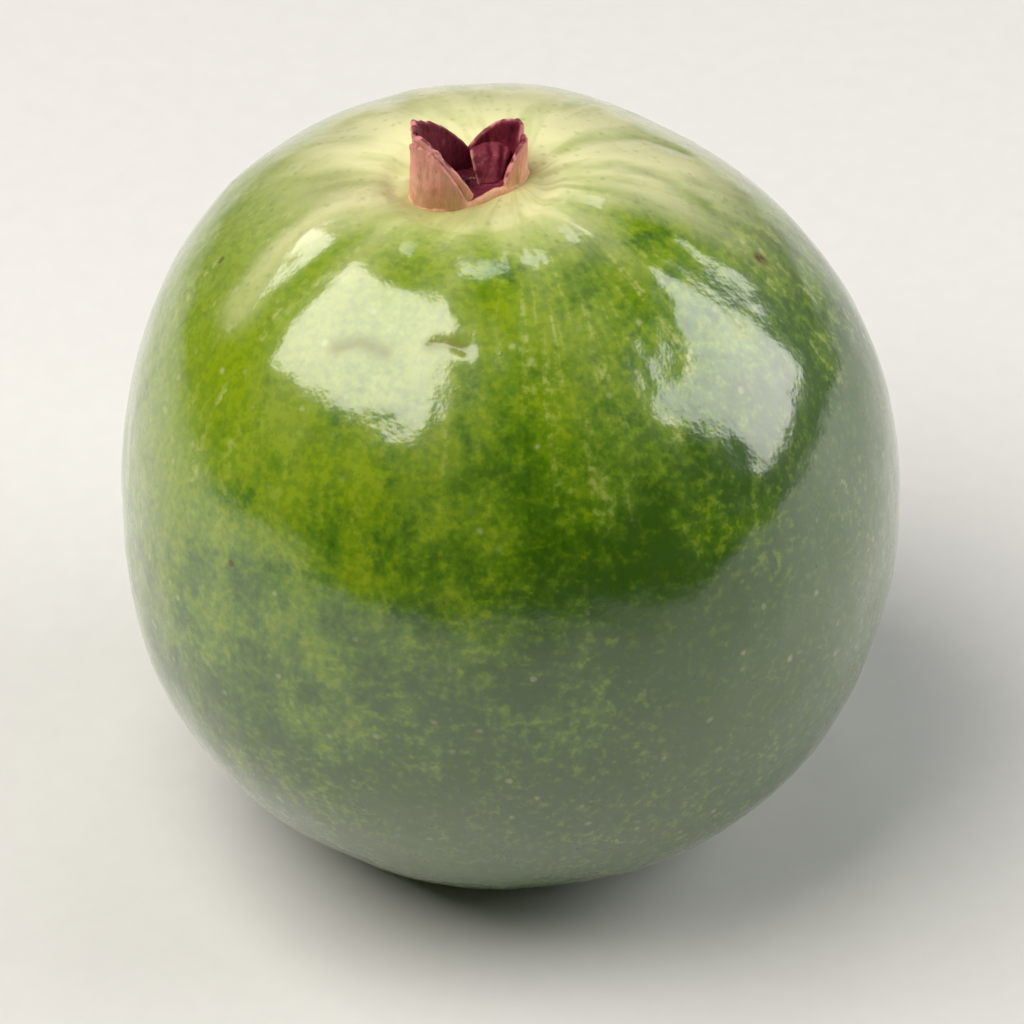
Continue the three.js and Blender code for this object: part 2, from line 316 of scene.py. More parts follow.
def make_skin(sizes):
    """The whole skin as one closed mesh with its ribs, dents and small bumps."""
    rings, steps = SKIN_GRID
    share = np.arange(1, rings) / rings
    polars = pi * (share - POLE_CROWDING * np.sin(2 * pi * share) / (2 * pi))
    azimuths = 2 * pi * np.arange(steps) / steps
    polar, azimuth = np.meshgrid(polars, azimuths, indexing="ij")
    polar = np.concatenate([[0], polar.ravel(), [pi]])
    azimuth = np.concatenate([[0], azimuth.ravel(), [0]])
    points, radius = skin_points(sizes, polar, azimuth)
    rest = points[:, 2] < REST_EDGE
    upper = polar < pi / 2

    # Outward directions of an egg of the same size, good enough for shallow relief.
    middle = np.array([0, 0, sizes.lower_height - REST_CUT])
    tall = np.where(upper, sizes.upper_height, sizes.lower_height)
    outward = points - middle
    outward /= np.stack([np.full_like(tall, sizes.width / 2)] * 2 + [tall], axis=-1) ** 2
    outward /= np.linalg.norm(outward, axis=1, keepdims=True)

    seat = np.where(upper, CALYX_HOLLOW["seat"], STALK_HOLLOW["seat"])
    loose = smooth(radius, seat, seat + 4 * MM) * smooth(points[:, 2], 0.0, 3 * MM)
    slow = noise_at(points, SLOW_DENT, 1) + 0.5 * noise_at(points, SHORTER_DENT, 2)
    medium = noise_at(points, BUMP_WIDTH, 3)
    small = noise_at(points, PEEL_WIDTH, 4)
    around = [np.cos(azimuth) * STREAKS_AROUND, np.sin(azimuth) * STREAKS_AROUND]
    lengthwise = noise_at(np.stack([*around, points[:, 2] / STREAK_LENGTH], axis=-1), 1, 5)
    relief = sizes.dents * slow + sizes.bumps * medium + sizes.peel * small + sizes.streaks * lengthwise

    # Soft radial creases that run out from the calyx and from the stalk.
    crease = np.cos(23 * azimuth + 5 * np.sin(2 * azimuth) + 2.5 * medium)
    reach = np.where(upper, CALYX_CREASE["reach"], STALK_CREASE["reach"])
    depth = np.where(upper, CALYX_CREASE["depth"], STALK_CREASE["depth"])
    relief += depth * crease * rib_fade(radius, reach) * (0.6 + 0.4 * slow)
    pucker = np.cos(13 * azimuth + 2.2 * np.sin(3 * azimuth) + 1.6 * medium) * (1 + 0.6 * slow)
    from_ring = (radius - PUCKER["radius"]) / PUCKER["width"]
    relief += PUCKER["depth"] * pucker * np.exp(-(from_ring ** 2)) * ~upper

    shift = np.array(sideways_shift(sizes))
    pale_and_reflection = np.zeros(len(points))
    brown = np.zeros(len(points))
    for width, rise, paler, browner, path in MARKS:
        near = np.exp(-(path_distance(points + shift, path) / (width * MM)) ** 2)
        relief += rise * MM * near
        pale_and_reflection += paler * near
        brown += browner * near
    points += outward * ((relief - SKIN_INSET) * loose)[:, None]

    # The skin draws up to the calyx and to the stub, as on a fruit that they have grown on.
    turn = azimuth - sizes.calyx_turn
    oval = 1 / np.sqrt((np.cos(turn) / sizes.calyx_length) ** 2 + (np.sin(turn) / sizes.calyx_breadth) ** 2)
    collar = np.exp(-((radius - CALYX_COLLAR["share"] * oval) / CALYX_COLLAR["width"]) ** 2) * upper
    points[:, 2] += CALYX_COLLAR["rise"] * collar * (1 + 0.25 * noise_at(points, 1.6 * MM, 6))
    from_stub = radius * (1 + 0.05 * pucker) - STUB_COLLAR["radius"]
    foot = np.exp(-(from_stub / STUB_COLLAR["width"]) ** 2) * ~upper
    points[:, 2] -= STUB_COLLAR["rise"] * foot * (1 + 0.3 * noise_at(points, 1.4 * MM, 7) + 0.15 * pucker)

    points += shift
    fit_into(points, FRUIT_LOW, FRUIT_HIGH)
    points[rest, 2] = 0
    points[:, 2] = np.maximum(points[:, 2], 0)

    top_ribs = ribs(CALYX_RIB, sizes.calyx_ribs, azimuth, radius)
    low_ribs = ribs(STALK_RIB, sizes.stalk_ribs, azimuth, radius)
    across = points[:, 0] / CROWN["half_length"]
    backward = (points[:, 1] - CROWN["back"]) / CROWN["half_breadth"]
    attributes = {
        "rib": np.where(upper, top_ribs, low_ribs) + 0.25 * crease * rib_fade(radius, reach),
        # The crown, rib and pale mark attributes carry the pale colour that is partly a painted reflection.
        "crown": np.exp(-(across ** 2) - backward ** 2) * upper,
        "hollow": np.exp(-((radius / HOLLOW_REACH) ** 2)) * upper,
        "collar": np.where(upper, np.exp(-((radius - oval) / CALYX_TAN_REACH) ** 2), foot),
        "stalk_end": np.exp(-((radius / STALK_END_REACH) ** 2)) * ~upper,
        "pale_and_reflection_mark": pale_and_reflection,
        "brown_mark": brown,
    }
    return new_object("guava_skin", points, ring_faces(rings - 1, steps), attributes)


def path_distance(points, path):
    """Distance of each point from a path of straight pieces whose corners are in millimetres."""
    nearest = np.full(len(points), 1.0)
    corners = [np.array(corner) * MM for corner in path]
    for a, b in zip(corners, corners[1:]):
        along = np.clip((points - a) @ (b - a) / ((b - a) @ (b - a)), 0, 1)
        nearest = np.minimum(nearest, np.linalg.norm(points - a - along[:, None] * (b - a), axis=1))
    return nearest


def fit_into(points, low, high):
    """Shrinks points sideways about the middle of a box where they would stick out of it."""
    for axis in (0, 1):
        middle = (low[axis] + high[axis]) / 2
        half = (high[axis] - low[axis]) / 2
        reach = np.abs(points[:, axis] - middle).max()
        if reach > half:
            points[:, axis] = middle + (points[:, axis] - middle) * half / reach


# Shape of the calyx

RIM_DENT = dict(azimuth=radians(285), width=radians(24), depth=0.22)

# Heights above the cup's underside in millimetres.
CUP_RIM = 1.1
CUP_FLOOR = 0.7
CUP_UNDERSIDE = -0.3
SEPAL_ROOT = 0.1

# Steps across a sepal, up it and over its edge. Both its ends stop short of its full width by a small share,
# and are thinned over a wider one.
SEPAL_STEPS = (72, 26, 7)
END_SHARE = 0.02
END_THINNING = 0.05
END_THICKNESS = 0.25

# The folded sepal hangs from the rim over a span of degrees, at a height in millimetres. thickness is a
# share of the other sepals'.
FLAP = dict(start=14, span=58, height=3.1, thickness=0.3)
FLAP_STEPS = (36, 40)

# Rings of the cup from its floor over the rim and down: share of the rim's radius, height, and how far each
# belongs to the inside.
CUP_PROFILE = (
    (0.12, 0.6, 1), (0.3, 0.54, 1), (0.48, 0.5, 1), (0.6, 0.54, 1), (0.68, 0.6, 1), (0.75, 0.7, 1),
    (0.82, 0.8, 0.9), (0.9, 0.86, 0.5), (0.97, 0.8, 0.2), (1.02, 0.6, 0), (1.05, 0.35, 0),
    (1.07, 0.1, 0), (1.05, -0.2, 0), (0.9, -0.3, 0), (0.5, -0.3, 0))

# The dry threads start at a height above the cup's underside and lie no lower than another.
THREADS = 20
THREAD_ROOT = 0.42 * MM
THREAD_LOWEST = 0.58 * MM
THREAD_SEED = 11


def rim_point(sizes, azimuth, share, height):
    """A point at a share of the radius of the cup's oval rim, at a height above the cup's underside."""
    from_dent = (azimuth - RIM_DENT["azimuth"] + pi) % (2 * pi) - pi
    dent = 1 - RIM_DENT["depth"] * exp(-((from_dent / RIM_DENT["width"]) ** 2))
    return Vector((
        share * dent * sizes.calyx_length * cos(azimuth),
        share * dent * sizes.calyx_breadth * sin(azimuth),
        height,
    ))


def sepal_middle(sizes, sepal, across, up):
    """A point of a sepal's outer face. across runs from 0 to 1 along the rim, and up from root to edge."""
    azimuth = sepal["start"] + (sepal["end"] - sepal["start"]) * across
    reach = sepal["end"] - sepal["tip"] if azimuth > sepal["tip"] else sepal["tip"] - sepal["start"]
    from_tip = min(abs(azimuth - sepal["tip"]) / reach, 1)
    edge = sepal["height"] * (1 - from_tip ** sepal["point"])
    seed = sepal["start"] * 0.37
    ragged = noise.noise(Vector((azimuth / 7, seed, 0)))
    ragged += 0.5 * noise.noise(Vector((azimuth / 2.6, seed, 3)))
    edge *= 1 + 0.045 * ragged
    straight = SEPAL_ROOT + (max(edge, CUP_RIM) - SEPAL_ROOT) * up
    rise = straight / sepal["height"]
    crumple = 0.03 * sin(azimuth / 7) * rise
    crumple += 0.035 * rise * noise.noise(Vector((azimuth / 14, straight / 3.2, seed)))
    share = sepal["out"] + sepal["flare"] * rise ** 1.3 + crumple
    return rim_point(sizes, radians(azimuth), share, straight * MM)


def make_sepal(sizes, sepal, place):
    """One sepal as a closed plate with rounded edges, fine lengthwise wrinkles and a crumpled face."""
    across_steps, up_steps, rim_steps = SEPAL_STEPS
    step = 0.004
    half = sizes.sepal_thickness / 2

    def face(across, up):
        return sepal_middle(sizes, sepal, across, up)

    points, inside, rim, foot = [], [], [], []
    across_shares = [END_SHARE + (1 - 2 * END_SHARE) * a / across_steps for a in range(across_steps + 1)]
    section = [(u / up_steps, 1) for u in range(up_steps)]
    section += [(1, cos(pi * r / rim_steps)) for r in range(rim_steps + 1)]
    section += [(u / up_steps, -1) for u in range(up_steps - 1, -1, -1)]
    for across in across_shares:
        from_end = min(across - END_SHARE, 1 - END_SHARE - across) / END_THINNING
        rounding = sqrt(1 - (1 - min(max(from_end, 0), 1)) ** 2)
        end_round = END_THICKNESS + (1 - END_THICKNESS) * rounding
        for up, side in section:
            point = face(across, up)
            along = face(across + step, up) - face(across - step, up)
            upward = face(across, up + step) - face(across, up - step)
            outward = along.cross(upward).normalized()
            upward.normalize()
            thick = half * end_round * (1.08 - 0.22 * up)
            degrees = across * (sepal["end"] - sepal["start"])
            wrinkle = noise.noise(Vector((degrees / 8, point.z / (3 * MM), 0)))
            rough = noise.noise(point / (1.2 * MM)) + 0.5 * noise.noise(point / (0.5 * MM))
            relief = (0.09 * wrinkle + 0.06 * rough) * MM * abs(side)
            over = sqrt(max(0.0, 1 - side * side)) if up == 1 else 0.0
            proud = side * thick + relief * (1 if side > 0 else -1)
            point = point - outward * half + outward * proud
            point += upward * over * thick
            points.append(point)
            inside.append(0.5 - 0.5 * side)
            rim.append(smooth(up, 0.82, 1.0) if sepal["height"] * up > CUP_RIM else 0)
            foot.append(1 - smooth(point.z, 0.4 * MM, 3 * MM))
    count = len(section)
    loops = len(across_shares)
    faces = []
    for a in range(loops - 1):
        for s in range(count):
            t = (s + 1) % count
            faces.append((a * count + s, (a + 1) * count + s, (a + 1) * count + t, a * count + t))
    faces.append(tuple(range(count)))
    faces.append(tuple(reversed(range((loops - 1) * count, loops * count))))
    placed = [place(p) for p in points]
    return new_object(sepal["name"], placed, faces, {"inside": inside, "rim": rim, "foot": foot})


def make_flap(sizes, place):
    """The sepal that has folded into the cup: a crumpled sheet from the back of the rim to the floor."""
    across_steps, down_steps = FLAP_STEPS
    half = FLAP["thickness"] * sizes.sepal_thickness
    sides = []
    for side in (1, -1):
        sheet = []
        for a in range(across_steps + 1):
            across = a / across_steps
            for d in range(down_steps + 1):
                down = d / down_steps
                azimuth = radians(FLAP["start"] + FLAP["span"] * across)
                height = FLAP["height"] - 0.8 * (2 * across - 1) ** 2
                root = rim_point(sizes, azimuth, 0.9, height * MM)
                foot_y = -0.9 - 0.3 * sin(5 * across)
                foot = Vector(((3.4 - 2.7 * across) * MM, foot_y * MM, 0.4 * MM))
                point = root.lerp(foot, down)
                fold = noise.noise(Vector((4.2 * across, 1.3 * down, 5))) * 0.75
                fold += noise.noise(point / (0.9 * MM)) * 0.22 + 0.5 * sin(pi * down)
                point.z += fold * MM * sin(pi * down)
                curl = exp(-(((across - 1) / 0.18) ** 2)) * sin(pi * down)
                point += Vector((-0.35, 0, 0.75)) * curl * MM
                edge_round = sqrt(max(0.04, 1 - (2 * across - 1) ** 8))
                point.z += side * half * edge_round * (1 - 0.4 * down)
                sheet.append(point)
        sides.append(sheet)
    row = down_steps + 1
    top = len(sides[0])
    faces = []
    for a in range(across_steps):
        for d in range(down_steps):
            i = a * row + d
            faces.append((i, i + row, i + row + 1, i + 1))
            faces.append((top + i, top + i + 1, top + i + row + 1, top + i + row))
    for d in range(down_steps):
        i = across_steps * row + d
        faces.append((d, d + 1, top + d + 1, top + d))
        faces.append((i, top + i, top + i + 1, i + 1))
    for a in range(across_steps):
        i = a * row
        faces.append((i, top + i, top + i + row, i + row))
        i += down_steps
        faces.append((i, i + row, top + i + row, top + i))
    points = [place(p) for p in sides[0] + sides[1]]
    across_of = [a / across_steps for a in range(across_steps + 1) for _ in range(row)] * 2
    rim = [exp(-((across - 1) / 0.1) ** 2) for across in across_of]
    attributes = {"inside": [1 - 0.35 * r for r in rim], "rim": rim, "foot": [0] * len(points)}
    return new_object("sepal_folded", points, faces, attributes)


def make_stamens(sizes, place):
    """Dry curled threads of the flower and its short style, left in the cup."""
    chance = random.Random(THREAD_SEED)
    noise.seed_set(THREAD_SEED)
    sides = 6
    steps = 10
    points, faces = [], []
    threads = THREADS
    for t in range(threads + 1):
        style = t == threads
        azimuth = radians(chance.uniform(60, 240))
        share = 0.06 if style else chance.uniform(0.3, 0.7)
        at = rim_point(sizes, azimuth, share, THREAD_ROOT)
        rise = 3 if style else 0.35
        lean = Vector((chance.uniform(-1, 1), chance.uniform(-1, 1), rise)).normalized()
        turn = Vector((chance.uniform(-1, 1), chance.uniform(-1, 1), chance.uniform(-0.5, 0.4)))
        length = (2.2 if style else chance.uniform(1.0, 2.4)) * MM
        thick = (0.3 if style else chance.uniform(0.07, 0.11)) * MM
        first = len(points)
        for step in range(steps + 1):
            thin = thick * (1 - 0.55 * step / steps)
            aside = lean.orthogonal().normalized()
            other = lean.cross(aside).normalized()
            for k in range(sides):
                angle = 2 * pi * k / sides
                points.append(at + thin * (aside * cos(angle) + other * sin(angle)))
            lean = (lean + 0.22 * turn + 0.1 * noise.noise_vector(at / (0.9 * MM))).normalized()
            at = at + lean * length / steps
            at.z = max(at.z, THREAD_LOWEST)
        for step in range(steps):
            for k in range(sides):
                a = first + step * sides + k
                b = first + step * sides + (k + 1) % sides
                faces.append((a, b, b + sides, a + sides))
        end = first + steps * sides
        faces.append(tuple(reversed(range(first, first + sides))))
        faces.append(tuple(range(end, end + sides)))
    return new_object("calyx_stamens", [place(p) for p in points], faces)


def calyx_place(sizes):
    """A function that moves a point from the cup's own oval to its place on the fruit."""
    shift = sideways_shift(sizes)
    base = Vector((sizes.pole_lean + shift.x, shift.y, CALYX_LOW.z))
    cosine, sine = cos(sizes.calyx_turn), sin(sizes.calyx_turn)

    def place(point):
        turned = Vector((point.x * cosine - point.y * sine, point.x * sine + point.y * cosine, point.z))
        return base + turned

    return place


def make_cup(sizes, place):
    """The shallow cup that the sepals stand on, with a rough floor."""
    steps = 140
    points = [Vector((0, 0, CUP_FLOOR * MM))]
    inside = [1]
    for share, height, inner in CUP_PROFILE:
        for s in range(steps):
            azimuth = 2 * pi * s / steps
            lumpy = noise.noise(Vector((5 * cos(azimuth), 5 * sin(azimuth), height * 2)))
            point = rim_point(sizes, azimuth, share * (1 + 0.025 * lumpy), height * MM)
            point.z += 0.22 * MM * noise.noise(point / (1.1 * MM))
            points.append(point)
            inside.append(inner)
    points.append(Vector((0, 0, CUP_UNDERSIDE * MM)))
    inside.append(0)
    placed = [place(p) for p in points]
    attributes = {"inside": inside, "rim": [0] * len(points), "foot": [1] * len(points)}
    return new_object("calyx_cup", placed, ring_faces(len(CUP_PROFILE), steps), attributes)


# Shape of the stalk stub

STUB_RADIUS = 2.2
STUB_FOOT_FLARE = 0.7
STUB_END_FLARE = 0.3
CUT_RINGS = (0.93, 0.75, 0.5, 0.25)
CUT_DOMING = 0.06
CUT_DISH = 0.3 * MM


def make_stub():
    """The woody stub, widest where it leaves the fruit, with a bark that is ridged lengthwise."""
    steps = 72
    levels = 26
    middle = (STUB_LOW + STUB_HIGH) / 2
    length = STUB_HIGH.z - STUB_LOW.z
    points = [Vector((middle.x, middle.y, STUB_HIGH.z))]
    cut = [0]
    profile = []
    for t in range(levels + 1):
        down = t / levels
        radius = (STUB_RADIUS + STUB_FOOT_FLARE * (1 - down) ** 3 + STUB_END_FLARE * down ** 3) * MM
        profile.append((radius, down, 0))
    end_radius = profile[-1][0]
    profile += [(end_radius * share, 1 - (1 - share) * CUT_DOMING, 1) for share in CUT_RINGS]
    for radius, down, is_cut in profile:
        for s in range(steps):
            azimuth = 2 * pi * s / steps
            ridge = 0.03 * cos(4 * azimuth + 3 * down) + 0.03 * sin(13 * azimuth + 2 * down)
            ridge += 0.04 * noise.noise(Vector((3 * cos(azimuth), 3 * sin(azimuth), 6 * down)))
            reach = radius * (1 + ridge - 0.04)
            x = middle.x + reach * cos(azimuth)
            y = middle.y + reach * sin(azimuth)
            points.append(Vector((x, y, STUB_HIGH.z - length * down)))
            cut.append(is_cut)
    points.append(Vector((middle.x, middle.y, STUB_LOW.z + CUT_DISH)))
    cut.append(1)
    return new_object("stalk_stub_bark", points, ring_faces(len(profile), steps), {"cut": cut})


# Materials

# Sizes and spacings of what shows in the skin.
BROAD_PATCH = 24 * MM
PATCH = 5.5 * MM
BLOT = 3.2 * MM
GRAIN = 0.95 * MM
SKIN_BUMP = dict(size=1.5 * MM, height=0.035 * MM)
FINER_BUMP = dict(size=0.5 * MM, share=0.22)
THIN_STREAKS = dict(around=(17, 17, 17), along=(0, 0, 95))
WIDE_STREAKS = dict(around=(4, 4, 4), along=(110, 110, 110))

# Spots: where each one ends, how uneven that is, and how strong each is by its own chance.
PORES = dict(spacing=1.15 * MM, uneven=0, edge=(0.05, 0.4), strength=(0.25, 0.9, 0, 0.24))
DOTS = dict(spacing=2.6 * MM, uneven=0.36, edge=(0.2, 0.38), strength=(0.3, 0.95, 0, 0.34))
SPECKS = dict(spacing=9 * MM, uneven=0.05, edge=(0.055, 0.085), strength=(0.62, 0.72))

# How fast the ripeness grows along each axis, for each metre, and where it turns green and yellow.
RIPE_SLOPE = (-8.5, 0.5, 12.5)
GREEN_FROM = (1.75, 2.15)
YELLOW_FROM = (1.99, 2.37)

# Sizes of what shows in the calyx.
SEPAL_FIBRE = 0.45 * MM
SEPAL_PATCH = 2.2 * MM
SEPAL_GRAIN = 0.28 * MM
RIM_PATCH = 1.1 * MM
SEPAL_BUMP = 0.11 * MM

# Second colours of the pieces, each mixed into one of the colours above.
COLLAR_TAN = (0.4, 0.31, 0.08)
SEPAL_BLUSH = (0.88, 0.4, 0.29)
SEPAL_BLOTCH = (0.5, 0.23, 0.12)
SEPAL_VEIN = (0.42, 0.16, 0.1)
SEPAL_FOOT = (0.55, 0.34, 0.14)
SEPAL_TIP = (0.9, 0.37, 0.34)
INSIDE_RED = (0.24, 0.03, 0.05)
INSIDE_VEIN = (0.05, 0.005, 0.01)
INSIDE_PINK = (0.42, 0.1, 0.14)
RIM_DARK = (0.2, 0.035, 0.045)
SEPAL_GRIT = (0.1, 0.03, 0.025)
THREAD_DARK = (0.07, 0.016, 0.02)
THREAD_BROWN = (0.26, 0.1, 0.08)
BARK_CRACK = (0.05, 0.024, 0.013)
WOOD_RING = (0.3, 0.19, 0.1)
PITH = (0.12, 0.06, 0.03)
FLOOR_WHITE = (0.97, 0.985, 1.0)


class Shader:
    """The node tree of a material or a world, with short calls for the nodes used here."""

    def __init__(self, owner, surface="Principled BSDF"):
        owner.use_nodes = True
        self.owner = owner
        self.tree = owner.node_tree
        self.surface = self.tree.nodes[surface]

    def put(self, socket, value):
        """Links value to the socket if it is another node's output, or sets it."""
        if isinstance(value, bpy.types.NodeSocket):
            self.tree.links.new(value, socket)
        elif socket.type == "RGBA":
            socket.default_value = (*value, 1)
        else:
            socket.default_value = value

    def node(self, kind, inputs=(), output=0, **settings):
        made = self.tree.nodes.new(kind)
        for key, value in settings.items():
            setattr(made, key, value)
        for key, value in dict(inputs).items():
            self.put(made.inputs[key], value)
        return made.outputs[output]

    def math(self, operation, a, b=0.0, clamp=False):
        return self.node("ShaderNodeMath", {0: a, 1: b}, operation=operation, use_clamp=clamp)

    def times(self, a, b, clamp=False):
        return self.math("MULTIPLY", a, b, clamp)

    def plus(self, a, b, clamp=False):
        return self.math("ADD", a, b, clamp)

    def vector(self, operation, a, b=(0, 0, 0)):
        return self.node("ShaderNodeVectorMath", {0: a, 1: b}, operation=operation)

    def place(self):
        return self.node("ShaderNodeTexCoord", output="Object")

    def axis(self, at, name):
        return self.node("ShaderNodeSeparateXYZ", {0: at}, output=name)

    def attribute(self, name):
        return self.node("ShaderNodeAttribute", output="Fac", attribute_name=name)

    def noise(self, at, size, detail=2.0, roughness=0.5, distortion=0.0):
        """Noise with features of about size, in metres."""
        return self.node("ShaderNodeTexNoise", {
            "Vector": at, "Scale": 1 / size, "Detail": detail, "Roughness": roughness,
            "Distortion": distortion})

    def streaks(self, at, around, kind, **settings):
        """Noise that is drawn out from end to end of the fruit."""
        round_it = self.vector("MULTIPLY", around, kind["around"])
        along_it = self.vector("MULTIPLY", at, kind["along"])
        return self.noise(self.vector("ADD", round_it, along_it), 1, **settings)

    def cells(self, at, size):
        """Distance to the middle of the nearest cell of about size, and that cell's chance from 0 to 1."""
        made = self.tree.nodes.new("ShaderNodeTexVoronoi")
        self.put(made.inputs["Vector"], at)
        made.inputs["Scale"].default_value = 1 / size
        chance = self.node("ShaderNodeSeparateColor", {0: made.outputs["Color"]})
        return made.outputs["Distance"], chance

    def spots(self, at, fine, kind):
        """How far each point lies in a spot of a kind, with edges made uneven by fine."""
        distance, chance = self.cells(at, kind["spacing"])
        distance = self.plus(distance, self.times(fine, kind["uneven"]))
        return self.times(self.range(distance, *kind["edge"], 1, 0), self.range(chance, *kind["strength"]))

    def range(self, value, low, high, to_low=0.0, to_high=1.0):
        return self.node("ShaderNodeMapRange", {
            "Value": value, "From Min": low, "From Max": high, "To Min": to_low, "To Max": to_high},
            interpolation_type="SMOOTHSTEP")

    def mix(self, share, a, b):
        made = self.tree.nodes.new("ShaderNodeMix")
        made.data_type = "RGBA"
        self.put(made.inputs["Factor"], share)
        self.put(made.inputs["A"], a)
        self.put(made.inputs["B"], b)
        return made.outputs["Result"]

    def bump(self, height, distance, strength=1.0):
        return self.node("ShaderNodeBump", {"Height": height, "Distance": distance, "Strength": strength})

    def set(self, **values):
        for key, value in values.items():
            self.put(self.surface.inputs[key.replace("_", " ")], value)


def skin_material(colours):
    """Glossy green skin with fine mottling, pale round the calyx partly as a painted reflection, with dots
    and specks.
    """
    s = Shader(bpy.data.materials.new("guava_skin"))
    at = s.place()
    flat = s.vector("MULTIPLY", at, (1, 1, 0))
    around = s.vector("NORMALIZE", flat)
    streaks = s.streaks(at, around, THIN_STREAKS, distortion=0.5)
    wide_streaks = s.streaks(at, around, WIDE_STREAKS, detail=3, distortion=0.2)
    crown = s.attribute("crown")
    broad = s.noise(at, BROAD_PATCH, detail=3, roughness=0.55)
    patches = s.noise(at, PATCH, detail=4, roughness=0.62)
    fine = s.noise(at, GRAIN, detail=3, roughness=0.6)

    # Riper towards -X and the top, with an uneven border.
    ripe = s.node("ShaderNodeVectorMath", {0: at, 1: RIPE_SLOPE}, output="Value", operation="DOT_PRODUCT")
    ripe = s.plus(ripe, s.times(broad, 0.8))
    ripe = s.plus(ripe, patches)
    ripe = s.plus(ripe, s.times(fine, 0.55))
    ripe = s.plus(ripe, s.times(streaks, 0.34))
    colour = s.mix(s.range(ripe, *GREEN_FROM), colours.skin_deep, colours.skin_green)
    colour = s.mix(s.range(ripe, *YELLOW_FROM), colour, colours.skin_yellow)
    greener = s.times(s.range(fine, 0.58, 0.4), s.range(ripe, 2, 2.3, 0, 0.4))
    colour = s.mix(greener, colour, colours.skin_green)

    # Yellow grain and darker blots, both fine and of low contrast.
    grain = s.times(s.range(fine, 0.5, 0.68), s.range(patches, 0.35, 0.6, 0.2, 0.65))
    grain = s.times(grain, s.range(broad, 0.4, 0.58, 0.35, 1))
    colour = s.mix(grain, colour, colours.skin_yellow)
    blots = s.times(s.range(s.noise(at, BLOT, detail=3, roughness=0.65), 0.52, 0.7), 0.75)
    blots = s.times(blots, s.range(ripe, 1.94, 2.34, 1, 0.2))
    colour = s.mix(blots, colour, colours.skin_deep)

    # Pale round the calyx and the stalk, on the ribs and on the marks. Round the calyx and on the ribs this
    # is partly the skin's own paler tone and partly a painted reflection of the light from above.
    rib = s.times(s.attribute("rib"), s.range(patches, 0.3, 0.6, 0.5, 1))
    pale_and_reflection = s.plus(s.times(rib, 0.2), s.range(crown, 0.14, 0.8, 0, 1.05))
    pale_and_reflection = s.plus(pale_and_reflection, s.times(s.attribute("stalk_end"), 0.4))
    pale_and_reflection = s.plus(pale_and_reflection, s.attribute("pale_and_reflection_mark"))
    pale_and_reflection = s.times(pale_and_reflection, s.range(wide_streaks, 0.3, 0.62, 0.66, 1.05), clamp=True)
    colour = s.mix(pale_and_reflection, colour, colours.skin_pale_and_reflection)
    # A tan ring where the skin meets the calyx and the stub.
    colour = s.mix(s.times(s.attribute("collar"), 0.45), colour, COLLAR_TAN)

    # Whitish thin broken streaks, mostly on the shoulder towards +X and at the far side towards -X.
    along_x = s.axis(at, "X")
    along_z = s.axis(at, "Z")
    far_left = s.math("SUBTRACT", s.times(along_x, -26), 0.55)
    shoulder = s.math("MAXIMUM", s.times(along_x, 10), far_left)
    shoulder = s.plus(shoulder, s.times(along_z, 22))
    whitish_streaks = s.times(s.range(streaks, 0.5, 0.68), s.range(fine, 0.42, 0.66))
    whitish_streaks = s.times(whitish_streaks, s.range(patches, 0.42, 0.6, 0.1, 1))
    whitish_streaks = s.times(whitish_streaks, s.range(shoulder, 1.25, 1.7, 0.03, 0.36))
    whitish_streaks = s.times(whitish_streaks, s.range(crown, 0.25, 0.5, 1, 0.1))
    colour = s.mix(whitish_streaks, colour, colours.skin_pale_and_reflection)

    # Faint dark pores, pale dots about 3 mm apart and a few brown specks, all of unlike strength.
    colour = s.mix(s.spots(at, fine, PORES), colour, colours.skin_deep)
    colour = s.mix(s.spots(at, fine, DOTS), colour, colours.skin_pale_and_reflection)
    specks = s.spots(at, fine, SPECKS)
    rubbed = s.times(s.range(patches, 0.62, 0.75), 0.12)
    brown = s.times(s.attribute("brown_mark"), s.range(fine, 0.3, 0.6, 0.45, 1))
    worn = s.plus(s.times(specks, 0.75), s.plus(rubbed, brown), clamp=True)
    colour = s.mix(worn, colour, colours.skin_scuff)

    rough = s.range(s.noise(at, BLOT, detail=3, roughness=0.65), 0.3, 0.7, 0.26, 0.4)
    rough = s.plus(rough, s.times(worn, 0.25), clamp=True)
    hollow = s.attribute("hollow")
    rough = s.plus(rough, s.range(hollow, 0.5, 0.8, 0, 0.2), clamp=True)
    coat = s.range(hollow, 0.55, 0.76, 1, 0.12)
    coat = s.math("SUBTRACT", coat, s.times(worn, 0.6), clamp=True)

    peel = s.noise(at, SKIN_BUMP["size"], detail=2, roughness=0.6)
    finer = s.noise(at, FINER_BUMP["size"], detail=1)
    peel = s.plus(peel, s.times(finer, FINER_BUMP["share"]))
    normal = s.bump(peel, SKIN_BUMP["height"], 0.8)
    s.set(Base_Color=colour, Roughness=rough, Coat_Weight=coat, Normal=normal, Coat_Normal=normal)
    s.set(Specular_IOR_Level=0.25, Coat_Roughness=0.125, Coat_IOR=1.75)
    return s.owner


